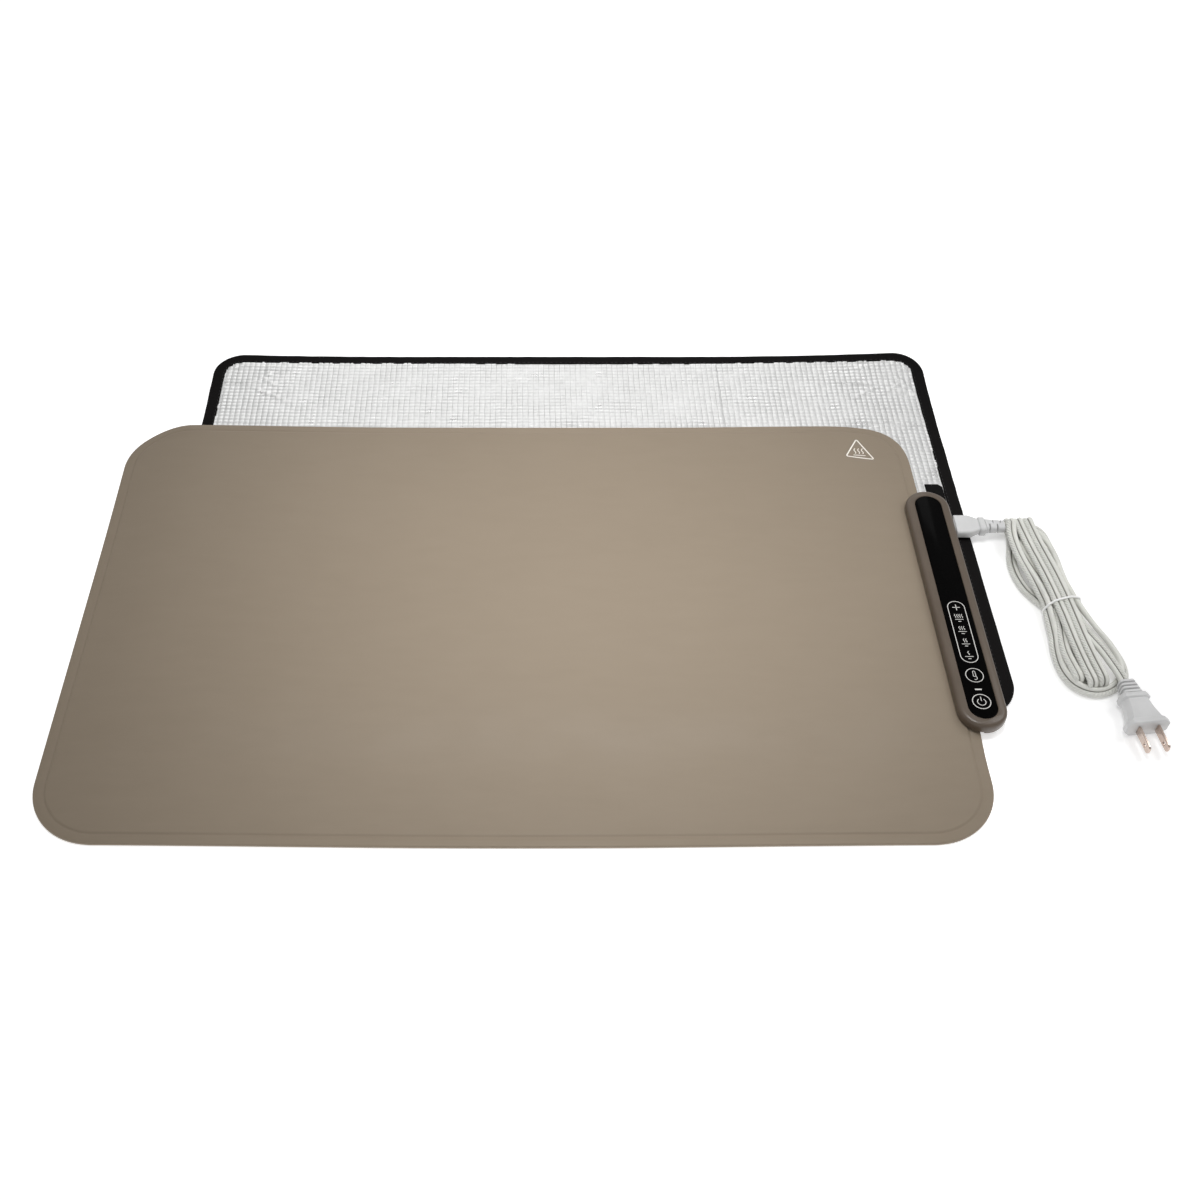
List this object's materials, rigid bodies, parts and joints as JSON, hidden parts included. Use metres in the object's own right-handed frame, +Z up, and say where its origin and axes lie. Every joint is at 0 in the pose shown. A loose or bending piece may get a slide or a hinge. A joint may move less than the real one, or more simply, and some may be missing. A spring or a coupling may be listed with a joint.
{
  "type": "electric warming mat",
  "caption": "Flat silicone warming mat with a side-mounted touch controller and detachable mains cord, lying on a foil-faced insulating pad.",
  "frame": {"origin": "bottom centre of the mat and pad together, on the resting plane, without the cord set", "axes": "+X to the right along the mat's long side, towards the controller; +Y away from the mat's front edge; +Z up"},
  "size_m": [0.7188, 0.4666, 0.0143],
  "materials": {
    "taupe_silicone": "matte moulded silicone",
    "carbon_film": "matte printed film",
    "taupe_plastic": "satin moulded plastic",
    "black_panel": "high gloss",
    "black_epoxy": "matte",
    "green_board": "solder mask",
    "white_nylon": "matte",
    "diffuser": "frosted",
    "red_silicone_wire": "satin",
    "nickel_plated_brass": "brushed plating",
    "zinc_steel": "zinc plated",
    "brass": "bright",
    "grey_white_pvc": "satin moulded vinyl",
    "white_tie": "matte",
    "aluminium_foil": "embossed foil",
    "white_foam": "closed cell foam",
    "black_fabric": "woven"
  },
  "bodies": {
    "insulation_pad": {"pad_fabric_back": "black_fabric", "pad_foam_core": "white_foam", "pad_foil_face": "aluminium_foil", "pad_edge_binding": "black_fabric", "pad_label_patch": "black_fabric"},
    "heat_mat": {"mat_top_sheet": "taupe_silicone", "mat_bottom_sheet": "taupe_silicone", "heating_film": "carbon_film", "housing_top_cover": "taupe_plastic", "housing_bottom_cover": "taupe_plastic", "touch_panel": "black_panel", "mat_bond_tape": "black_epoxy", "microcontroller": "black_epoxy", "power_triac": "black_epoxy", "power_module": "black_epoxy", "buzzer": "black_epoxy", "thermal_sensor": "black_epoxy", "control_board": "green_board", "touch_pad_level": "white_nylon", "touch_pad_set": "white_nylon", "touch_pad_power": "white_nylon", "board_fuse": "white_nylon", "thermal_cutout": "white_nylon", "inlet_block": "white_nylon", "indicator_led": "diffuser", "element_lead_1": "red_silicone_wire", "element_lead_2": "red_silicone_wire", "inlet_pin_1": "nickel_plated_brass", "inlet_pin_2": "nickel_plated_brass", "housing_screw_1": "zinc_steel", "housing_screw_2": "zinc_steel", "housing_screw_3": "zinc_steel", "housing_screw_4": "zinc_steel"},
    "cord_set": {"connector_body": "grey_white_pvc", "connector_strain_relief": "grey_white_pvc", "connector_contact_1": "brass", "connector_contact_2": "brass", "cord_lead": "grey_white_pvc", "cord_hank": "grey_white_pvc", "cord_tie": "white_tie", "cord_tail": "grey_white_pvc", "plug_strain_relief": "grey_white_pvc", "plug_body": "grey_white_pvc", "plug_blade_1": "nickel_plated_brass", "plug_blade_2": "nickel_plated_brass"}
  },
  "joints": [
    {"name": "mat_lift", "type": "slide", "parent": "insulation_pad", "child": "heat_mat", "axis": [0, 0, 1], "range_m": [0, 0.12]},
    {"name": "connector_pull", "type": "slide", "parent": "heat_mat", "child": "cord_set", "axis": [1, 0, 0], "range_m": [0, 0.03]}
  ]
}
